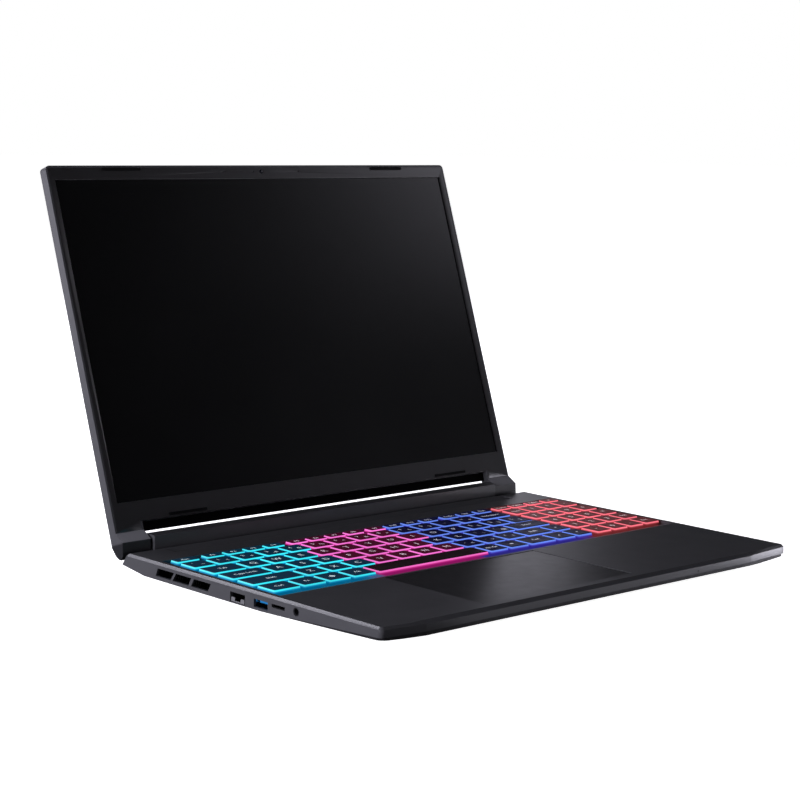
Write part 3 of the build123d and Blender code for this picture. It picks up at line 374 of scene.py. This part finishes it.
def lit_skirt(name, rim, deep, low, high):
    """Skirt of a lit key between two heights: pale and bright at its rim, deep and dim below."""
    shade = glowing(name, rim, GLOW_STRENGTH)
    stops = [(0.0, tuple(0.8 * c for c in deep)), (0.28, deep), (0.56, rim)]
    height = shade.spread(shade.coordinate("Z"), low, high)
    shade.link(shade.ramp(height, stops), shade.surface.inputs["Emission Color"])
    return shade.material


def keycap_paint(name, leak):
    """Black key paint with a fine grain, and a painted glow in the zone's colour for the trace of
    its light that passes through.
    """
    shade = Shade(name, (0.004, 0.004, 0.005), 0.5, specular=0.3)
    shade.vary_colour((0.003, 0.003, 0.004), (0.006, 0.006, 0.007), 130)
    shade.vary_roughness(0.44, 0.52, 170)
    shade.bump(3800, 0.008 * MM)
    # painted glow on the top, in the zone's colour
    shade.set("Emission Color", (*leak, 1))
    shade.set("Emission Strength", 1.0)
    return shade.material


def plate_with_painted_glow():
    """Black plate under the keys, with a painted glow in the colours of the four zones for their
    light that washes it.
    """
    shade = painted_metal("plate_paint_and_painted_glow", (0.005, 0.005, 0.006), (0.008, 0.008, 0.009), 0.5)
    places = [("cyan", KEYS_LEFT)]
    for left_zone, right_zone, border in PLATE_BORDERS:
        places += [(left_zone, border - BORDER_BLUR), (right_zone, border + BORDER_BLUR)]
    width = KEYS_RIGHT - KEYS_LEFT
    stops = [((x - KEYS_LEFT) / width, ZONES[zone][1]) for zone, x in places]
    across = shade.spread(shade.coordinate("X"), KEYS_LEFT, KEYS_RIGHT)
    shade.link(shade.ramp(across, stops), shade.surface.inputs["Emission Color"])
    shade.set("Emission Strength", PLATE_PAINTED_GLOW)
    return shade.material


# name, material, dark, light, roughness, grain, depth in mm, then specular and spread if given
PLASTICS = {
    "cover": ("cover_plastic", (0.006, 0.006, 0.0065), (0.009, 0.009, 0.0095), 0.6, 1900, 0.05),
    "bezel": (
        "bezel_plastic", (0.0095, 0.0085, 0.009), (0.0105, 0.0105, 0.011), 0.28, 3000, 0.0006,
        1.0, 0.004,
    ),
    "rubber": ("rubber", (0.002, 0.002, 0.002), (0.004, 0.004, 0.004), 0.8, 2600, 0.02, 0.15),
    "touchpad": (
        "touchpad_film", (0.007, 0.007, 0.0078), (0.009, 0.009, 0.01), 0.31, 4200, 0.003, 0.33,
    ),
    "fan": ("fan_plastic", (0.006, 0.006, 0.007), (0.012, 0.012, 0.013), 0.35, 1500, 0.01),
    "battery": ("battery_wrap", (0.007, 0.007, 0.008), (0.012, 0.012, 0.013), 0.5, 700, 0.03),
    "speaker": ("speaker_plastic", (0.006, 0.006, 0.006), (0.012, 0.012, 0.012), 0.55, 1200, 0.03),
    "port": ("port_plastic", (0.004, 0.004, 0.0045), (0.008, 0.008, 0.009), 0.42, 1800, 0.01),
    # Black strip of painted shade for the lid's set-back face
    "felt": (
        "black_felt", (0.0006, 0.0006, 0.0007), (0.001, 0.001, 0.0012), 0.9, 2600, 0.02, 0.08,
    ),
    "flap": ("flap_plastic", (0.07, 0.07, 0.073), (0.085, 0.085, 0.088), 0.5, 1800, 0.01),
    "tongue": ("tongue_plastic", (0.006, 0.07, 0.17), (0.01, 0.1, 0.23), 0.3, 1800, 0.01),
    "glass": ("lens_glass", (0.002, 0.002, 0.004), (0.004, 0.004, 0.007), 0.08, 1800, 0.001),
}
# name, material, dark, light, roughness, then how the grain is stretched if it is brushed
METALS = {
    "steel": ("steel", (0.32, 0.32, 0.33), (0.5, 0.5, 0.51), 0.32, (1, 12, 12)),
    "chrome": ("port_shell", (0.45, 0.45, 0.46), (0.62, 0.62, 0.63), 0.22, (1, 9, 9)),
    "screw": ("screw_oxide", (0.03, 0.03, 0.032), (0.07, 0.07, 0.072), 0.38),
    "copper": ("copper", (0.42, 0.17, 0.08), (0.62, 0.29, 0.15), 0.34, (1, 6, 6)),
    "fins": ("fin_black", (0.006, 0.006, 0.0065), (0.012, 0.012, 0.0125), 0.5, (6, 1, 6)),
    "gold": ("contact_gold", (0.62, 0.38, 0.12), (0.82, 0.55, 0.22), 0.25, (1, 9, 9)),
}
PAINT = {
    "case": painted_metal("case_paint", METAL_DARK, METAL_LIGHT, 0.37).material,
    "lid": lid_paint_and_painted_light(),
    "plate": plate_with_painted_glow(),
    "board": circuit_board(),
    "screen": screen_film(),
    "light": glowing("status_lens", (0.9, 0.95, 1.0), 0.01, (0.012, 0.012, 0.013)).material,
}
PAINT.update({name: moulded(*values) for name, values in PLASTICS.items()})
PAINT.update({name: metal(*values) for name, values in METALS.items()})

# The CAD nodes that each paint covers
NODE_PAINT = {
    "case": ["top_case", "hinge_bar_cover", "rear_housing"],
    "lid": ["lid_back_cover"],
    "cover": ["bottom_cover"],
    "bezel": ["display_bezel"],
    "rubber": ["rubber_feet", "lid_bumpers"],
    "plate": ["keyboard_plate", "backlight_sheet"],
    "touchpad": ["touchpad"],
    "steel": ["hinge_brackets", "hinge_shafts", "touchpad_bracket", "click_switch"],
    "chrome": ["left_usb_port", "right_usb_ports", "card_slot", "hdmi_port", "usb_c_port"],
    "screw": ["cover_screws"],
    "copper": ["heat_pipes", "cold_plate"],
    "fins": ["rear_fin_stacks", "side_fin_stacks"],
    "fan": ["left_fan_housing", "right_fan_housing", "left_fan_rotor", "right_fan_rotor"],
    "battery": ["battery"],
    "speaker": ["left_speaker", "right_speaker"],
    "flap": ["network_jack_flap"],
    "port": ["network_jack", "audio_jack", "power_inlet", "webcam_module"],
    "board": ["motherboard", "memory_modules", "storage_drive", "wifi_card"],
    "screen": ["display_panel"],
    "light": ["status_light"],
}


def paint_nodes():
    """Gives every carried-over CAD node its material."""
    for paint, names in NODE_PAINT.items():
        for name in names:
            mesh = nodes[name].data
            mesh.materials.clear()
            mesh.materials.append(PAINT[paint])


MERGE = 0.002 * MM
SOFT_ANGLE = math.radians(30)
SOFT_EDGES = [
    ("top_case", 0.25 * MM),
    ("lid_back_cover", 0.6 * MM),
    ("display_bezel", 0.1 * MM),
    ("bottom_cover", 0.3 * MM),
]


def soften(name, width):
    """Rounds the edges of a CAD node by a small radius, as a mould or a paint coat does."""
    node = nodes[name]
    weld = node.modifiers.new("weld", "WELD")
    weld.merge_threshold = MERGE
    bevel = node.modifiers.new("soft_edges", "BEVEL")
    bevel.width = width
    bevel.segments = 2
    bevel.limit_method = "ANGLE"
    bevel.angle_limit = SOFT_ANGLE
    bevel.harden_normals = True


# ---------------------------------------------------------------- keys
SKIRT, CAP, LEGEND = range(3)
CORNER = 1.2 * MM
CORNER_STEPS = 5
TAPER = math.tan(math.radians(12))
RIM = 0.28 * MM
# Share of a key's height up to which its skirt is lit
LIT_HEIGHT = 0.9
DISH = 0.16 * MM
# Shares of the way from the middle of a cap's top to its rim, where the dish has a ring
DISH_RINGS = (0.8, 0.55, 0.3, 0.12)


def islands(node):
    """Boxes of the separate solids of a node, from front to rear and then from left to right."""
    mesh = bmesh.new()
    mesh.from_mesh(nodes[node].data)
    bmesh.ops.remove_doubles(mesh, verts=mesh.verts, dist=MERGE)
    left, boxes = set(mesh.verts), []
    while left:
        group, edge = set(), [left.pop()]
        while edge:
            vertex = edge.pop()
            group.add(vertex)
            for link in vertex.link_edges:
                other = link.other_vert(vertex)
                if other in left:
                    left.discard(other)
                    edge.append(other)
        low = Vector(min(v.co[i] for v in group) for i in range(3))
        high = Vector(max(v.co[i] for v in group) for i in range(3))
        boxes.append((low, high))
    mesh.free()
    return sorted(boxes, key=lambda box: (round(box[0].y, 4), box[0].x))


def rounded_ring(mesh, centre, half, height):
    """Vertices of a key's rounded rectangle, anticlockwise, at one height."""
    ring = []
    for turn, (sx, sy) in enumerate([(1, 1), (-1, 1), (-1, -1), (1, -1)]):
        corner = Vector((centre.x + sx * (half.x - CORNER), centre.y + sy * (half.y - CORNER)))
        for step in range(CORNER_STEPS + 1):
            angle = math.pi / 2 * (turn + step / CORNER_STEPS)
            point = corner + CORNER * Vector((math.cos(angle), math.sin(angle)))
            ring.append(mesh.verts.new((point.x, point.y, height)))
    return ring


def bridge(mesh, lower, upper, material):
    """Quads between two rings of the same length."""
    for i in range(len(lower)):
        j = (i + 1) % len(lower)
        face = mesh.faces.new((lower[i], lower[j], upper[j], upper[i]))
        face.material_index = material
        face.smooth = True


def add_cap(mesh, low, high, skirt, cap):
    """Keycap with a lit tapered skirt, a rounded rim and a dished black top."""
    centre = (low + high) / 2
    half = (high - low) / 2
    rise = high.z - low.z
    # inset, height, material of the band above it
    levels = [
        (0.0, low.z, skirt),
        (0.5 * rise * TAPER, low.z + 0.5 * rise, skirt),
        (LIT_HEIGHT * rise * TAPER, low.z + LIT_HEIGHT * rise, cap),
        (rise * TAPER + 0.25 * RIM, high.z - 0.25 * RIM, cap),
        (rise * TAPER + RIM, high.z, cap),
    ]
    rings = []
    for inset, height, _ in levels:
        inner = Vector((half.x - inset, half.y - inset))
        rings.append(rounded_ring(mesh, centre, inner, height))
    for (_, _, material), lower, upper in zip(levels, rings, rings[1:]):
        bridge(mesh, lower, upper, material)
    edge = rings[-1]
    for share in DISH_RINGS:
        ring = []
        for vertex in edge:
            flat = Vector((centre.x, centre.y, high.z)).lerp(vertex.co, share)
            flat.z = high.z - DISH * (1 - share ** 2)
            ring.append(mesh.verts.new(flat))
        bridge(mesh, rings[-1], ring, cap)
        rings.append(ring)
    top = mesh.faces.new(rings[-1])
    top.material_index = cap
    top.smooth = True
    bottom = mesh.faces.new(list(reversed(rings[0])))
    bottom.material_index = skirt


LEGEND_HALF_DEPTH = 0.03 * MM


def text_mesh(body, size):
    """Thin solid letters, centred on the origin."""
    curve = bpy.data.curves.new("legend", "FONT")
    curve.body = body
    curve.size = size
    curve.align_x = "CENTER"
    curve.align_y = "CENTER"
    curve.extrude = LEGEND_HALF_DEPTH
    curve.resolution_u = 2
    item = bpy.data.objects.new("legend", curve)
    scene.collection.objects.link(item)
    bpy.context.view_layer.update()
    mesh = bpy.data.meshes.new_from_object(item)
    bpy.data.objects.remove(item)
    bpy.data.curves.remove(curve)
    return mesh


def glyph_mesh(points):
    """Thin solid of a flat outline, for arrows and other signs."""
    mesh = bmesh.new()
    lower, upper = [
        [mesh.verts.new((x, y, z)) for x, y in points]
        for z in (-LEGEND_HALF_DEPTH, LEGEND_HALF_DEPTH)
    ]
    bridge(mesh, lower, upper, 0)
    mesh.faces.new(upper)
    mesh.faces.new(list(reversed(lower)))
    made = bpy.data.meshes.new("glyph")
    mesh.to_mesh(made)
    mesh.free()
    return made


def arrow(turns):
    """Triangle that points right, turned by quarter turns."""
    spin = Matrix.Rotation(turns * math.pi / 2, 2)
    back, tip, side = -0.5 * ARROW_SIZE, 0.6 * ARROW_SIZE, 0.6 * ARROW_SIZE
    return [tuple(spin @ Vector(point)) for point in [(back, -side), (tip, 0), (back, side)]]


def diamond(size):
    """Square that stands on its corner."""
    return [(-size, 0), (0, -size), (size, 0), (0, size)]


def bar(half_width, half_height):
    """Rectangle round the origin."""
    x, y = half_width, half_height
    return [(-x, -y), (x, -y), (x, y), (-x, y)]


ARROW_SIZE = 1.5 * MM
SIGNS = {
    "RIGHT": arrow(0),
    "UP": arrow(1),
    "LEFT": arrow(2),
    "DOWN": arrow(3),
    "HOME": diamond(2.5 * MM),
    "POWER": diamond(1.0 * MM),
    "MENU": bar(1.3 * MM, 0.9 * MM),
}
LETTER_SIZE = 6.4 * MM
PAIR_SIZE = 4.6 * MM
SMALL_SIZE = 4.0 * MM
# How far apart the two words of a pair stand, across the key and along it
PAIR_ACROSS = 5.0 * MM
PAIR_ALONG = 3.4 * MM


def add_legend(mesh, low, high, text, material):
    """A sign or letters on a cap's top. A space splits two words, which stand left and right."""
    centre = (low + high) / 2
    half = (high - low) / 2
    words = [text] if text in SIGNS or "_" in text else text.split(" ")
    for index, word in enumerate(words):
        if word in SIGNS:
            made = glyph_mesh(SIGNS[word])
        elif len(words) > 1:
            made = text_mesh(word, PAIR_SIZE)
        else:
            size = LETTER_SIZE if len(word) == 1 else SMALL_SIZE
            made = text_mesh(word.replace("_", " "), size)
        side = 0 if len(words) == 1 else index - 0.5
        across, along = side * PAIR_ACROSS, -side * PAIR_ALONG
        start = len(mesh.verts)
        faces = len(mesh.faces)
        mesh.from_mesh(made)
        mesh.verts.ensure_lookup_table()
        mesh.faces.ensure_lookup_table()
        for vertex in mesh.verts[start:]:
            x, y = vertex.co.x + across, vertex.co.y + along
            reach = max(abs(x) / half.x, abs(y) / half.y)
            height = high.z - DISH * (1 - reach ** 2) + vertex.co.z
            vertex.co = (centre.x + x, centre.y + y, height)
        for face in mesh.faces[faces:]:
            face.material_index = material
            face.smooth = False
        bpy.data.meshes.remove(made)


def lit(zone, *legends):
    """Keys of one light zone, as (legend, zone)."""
    return [(legend, zone) for legend in legends]


# The keys of each body, in the order that islands() gives
KEY_ROWS = {
    "space_key": lit("space", ""),
    "enter_key": lit("blue", "Enter"),
    "backspace_key": lit("blue", "Backspace"),
    "tab_key": lit("cyan", "Tab"),
    "caps_lock_key": lit("cyan", "Caps_Lock"),
    "left_shift_key": lit("cyan", "Shift"),
    "right_shift_key": lit("blue", "Shift"),
    "escape_key": lit("cyan", "Esc"),
    "power_key": lit("red", "POWER"),
    "modifier_keys": lit("cyan", "Ctrl", "Fn", "HOME", "Alt")
    + lit("blue", "Alt_Gr", "MENU", "Ctrl"),
    "arrow_keys": lit("blue", "LEFT", "DOWN") + lit("red", "RIGHT") + lit("blue", "UP"),
    "lower_letter_keys": lit("cyan", *"ZXC") + lit("magenta", *"VBNM")
    + lit("blue", ", <", ". >", "/ ?"),
    "home_letter_keys": lit("cyan", *"ASD") + lit("magenta", *"FGHJ")
    + lit("blue", "K", "L", "; :", "' @"),
    "upper_letter_keys": lit("blue", "\\ |") + lit("cyan", *"QWE") + lit("magenta", *"RTYUI")
    + lit("blue", "O", "P", "[ {", "] }"),
    "number_keys": lit("cyan", "` ~", "1 !", "2 +", "3 #", "4 $")
    + lit("magenta", "5 %", "6 ^", "7 &", "8 *")
    + lit("blue", "9 (", "0 )", "- _", "= +"),
    "function_keys": lit("cyan", "F1", "F2", "F3", "F4")
    + lit("magenta", "F5", "F6", "F7", "F8", "F9")
    + lit("blue", "F10", "F11", "F12", "PrtSc", "Ins", "Del")
    + lit("red", "Home", "PgUp", "PgDn"),
    "keypad_keys": lit("red", *"0 . Ent 1 2 3 End 4 5 6 = 7 8 9 + Num / * -".split(" ")),
}


def make_keys():
    """One piece for each key body, standing for its CAD node."""
    low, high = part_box("space_key")
    skirts, tops, inks = {}, {}, {}
    for zone, (rim, deep, leak) in ZONES.items():
        skirts[zone] = lit_skirt(f"glow_{zone}", rim, deep, low.z, high.z)
        tops[zone] = keycap_paint(f"keycap_{zone}", leak)
        pale = tuple(LEGEND_WHITE + LEGEND_TINT * c for c in rim)
        inks[zone] = glowing(f"legend_{zone}", pale, LEGEND_STRENGTH, (0.3, 0.3, 0.3)).material
    for node, legends in KEY_ROWS.items():
        boxes = islands(node)
        used = sorted({zone for _, zone in legends})
        mesh = bmesh.new()
        for (low, high), (text, zone) in zip(boxes, legends, strict=True):
            first = 3 * used.index(zone)
            add_cap(mesh, low, high, first + SKIRT, first + CAP)
            if text:
                add_legend(mesh, low, high, text, first + LEGEND)
        data = bpy.data.meshes.new(node + "_caps")
        mesh.to_mesh(data)
        mesh.free()
        for zone in used:
            for material in (skirts[zone], tops[zone], inks[zone]):
                data.materials.append(material)
        piece = bpy.data.objects.new(node + "_caps", data)
        scene.collection.objects.link(piece)
        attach(piece, node)
        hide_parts(node)


# ---------------------------------------------------------------- detail in ports and lid
def place_piece(name, mesh, body, materials):
    """Finishes a piece that rides on a body."""
    data = bpy.data.meshes.new(name)
    bmesh.ops.recalc_face_normals(mesh, faces=mesh.faces)
    mesh.to_mesh(data)
    mesh.free()
    for material in materials:
        data.materials.append(material)
    piece = bpy.data.objects.new(name, data)
    scene.collection.objects.link(piece)
    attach(piece, body)


def add_loft(mesh, sections, material, smooth=False):
    """Closed solid through rings of points of equal length."""
    rings = [[mesh.verts.new(point) for point in section] for section in sections]
    start = len(mesh.faces)
    for lower, upper in zip(rings, rings[1:]):
        for i in range(len(lower)):
            j = (i + 1) % len(lower)
            mesh.faces.new((lower[i], lower[j], upper[j], upper[i]))
    mesh.faces.new(list(reversed(rings[0])))
    mesh.faces.new(rings[-1])
    mesh.faces.ensure_lookup_table()
    for face in mesh.faces[start:]:
        face.material_index = material
        face.smooth = smooth


def slab(x, low_y, high_y, low_z, high_z, inset=0.0):
    """Corners of a rectangle across X, drawn in by an inset."""
    y0, y1, z0, z1 = low_y + inset, high_y - inset, low_z + inset, high_z - inset
    return [(x, y0, z0), (x, y1, z0), (x, y1, z1), (x, y0, z1)]


# Sizes of a full-size USB socket, whose tongue hangs under the top of its node
TONGUE_SET_BACK = 2.0 * MM
TONGUE_DEPTH = 13 * MM
TONGUE_HALF_WIDTH = 5.5 * MM
TONGUE_TOP = 1.0 * MM
TONGUE_BOTTOM = 3.2 * MM
SLEEVE = 0.05 * MM
SOCKET_HALF_WIDTH = 6.9 * MM
# The sleeve's tip is drawn in by this much over this length
TIP_INSET = 0.3 * MM
TIP_LENGTH = 0.35 * MM
CONTACTS = 4
CONTACT_PITCH = 2.4 * MM
CONTACT_HALF_WIDTH = 0.5 * MM
CONTACT_PROUD = 0.12 * MM
CONTACT_SUNK = 0.02 * MM
# Behind the tip, a contact starts a little drawn in, and then has its full size
CONTACT_START = 0.8 * MM
CONTACT_INSET = 0.04 * MM
CONTACT_FULL = 1.1 * MM


def port_middles(low, high):
    """Middles along Y of the sockets of a node: one, or two at the ends of its box."""
    if high.y - low.y < 3 * SOCKET_HALF_WIDTH:
        return [(low.y + high.y) / 2]
    return [low.y + SOCKET_HALF_WIDTH, high.y - SOCKET_HALF_WIDTH]


def make_tongues():
    """Coloured sleeve over the tongue of each full-size USB socket, with its contacts below."""
    for node, hand in [("left_usb_port", -1), ("right_usb_ports", 1)]:
        mesh = bmesh.new()
        low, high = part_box(node)
        mouth = low.x if hand < 0 else high.x
        tip = mouth - hand * (TONGUE_SET_BACK - SLEEVE)
        root = mouth - hand * TONGUE_DEPTH
        top = high.z - TONGUE_TOP + SLEEVE
        bottom = high.z - TONGUE_BOTTOM - SLEEVE
        for middle in port_middles(low, high):
            half = TONGUE_HALF_WIDTH
            limits = (middle - half - SLEEVE, middle + half + SLEEVE, bottom, top)
            sections = [
                slab(tip, *limits, TIP_INSET),
                slab(tip - hand * TIP_LENGTH, *limits),
                slab(root, *limits),
            ]
            add_loft(mesh, sections, 0)
            for index in range(CONTACTS):
                y = middle + (index - (CONTACTS - 1) / 2) * CONTACT_PITCH
                sides = (y - CONTACT_HALF_WIDTH, y + CONTACT_HALF_WIDTH)
                strip = (*sides, bottom - CONTACT_PROUD, bottom + CONTACT_SUNK)
                sections = [
                    slab(tip - hand * CONTACT_START, *strip, CONTACT_INSET),
                    slab(tip - hand * CONTACT_FULL, *strip),
                    slab(root, *strip),
                ]
                add_loft(mesh, sections, 1)
        place_piece(node + "_tongues", mesh, "base", [PAINT["tongue"], PAINT["gold"]])


# The corners on the lid of the black strip of painted shade, and how far its two faces stand proud
# of the strip behind it
SHADE_SHEET_HALF_LENGTH = 155.7 * MM
SHADE_SHEET_LOW = 9.6 * MM
SHADE_SHEET_HIGH = 15.5 * MM
SHADE_SHEET_FACES = (0.02 * MM, 0.1 * MM)
STRIP_FRONT = -4.46 * MM


def make_felt():
    """Thin black strip of painted shade on the set-back face of the lid, between the legs and
    under the bezel.
    """
    half, low, high = SHADE_SHEET_HALF_LENGTH, SHADE_SHEET_LOW, SHADE_SHEET_HIGH
    hinge = Vector((0, HINGE.y, HINGE.z))
    sections = []
    for proud in SHADE_SHEET_FACES:
        seat = hinge + LID_OUT * (STRIP_FRONT + proud)
        ring = [(-half, low), (half, low), (half, high), (-half, high)]
        sections.append([seat + Vector((x, 0, 0)) + LID_ALONG * along for x, along in ring])
    mesh = bmesh.new()
    add_loft(mesh, sections, 0)
    place_piece("lid_felt", mesh, "lid", [PAINT["felt"]])


# The camera's place on the lid, and its glass as (radius, height) in millimetres
CAMERA_ALONG = 249.5 * MM
LENS_SEAT = -0.69 * MM
LENS_PROFILE = [
    (1.45, 0.0), (1.45, 0.12), (1.3, 0.2), (1.15, 0.14), (1.0, 0.16), (0.7, 0.22), (0.35, 0.25),
]
LENS_STEPS = 32


def make_lens():
    """Domed glass with a rim in the bezel's camera hole."""
    low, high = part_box("webcam_module")
    turn = Matrix([(1, 0, 0), LID_ALONG, LID_OUT]).transposed()
    base = HINGE + LID_ALONG * CAMERA_ALONG + LID_OUT * LENS_SEAT
    base.x = (low.x + high.x) / 2
    sections = []
    for radius, out in LENS_PROFILE:
        ring = []
        for step in range(LENS_STEPS):
            angle = 2 * math.pi * step / LENS_STEPS
            flat = Vector((radius * math.cos(angle), radius * math.sin(angle), out)) * MM
            ring.append(base + turn @ flat)
        sections.append(ring)
    mesh = bmesh.new()
    add_loft(mesh, sections, 0, smooth=True)
    place_piece("webcam_lens", mesh, "lid", [PAINT["glass"]])


# ---------------------------------------------------------------- everything together
make_camera()
make_world()
make_floor()
make_lights()
paint_nodes()
for softened, radius in SOFT_EDGES:
    soften(softened, radius)
make_keys()
make_tongues()
make_lens()
make_felt()
scene.view_settings.view_transform = "Standard"
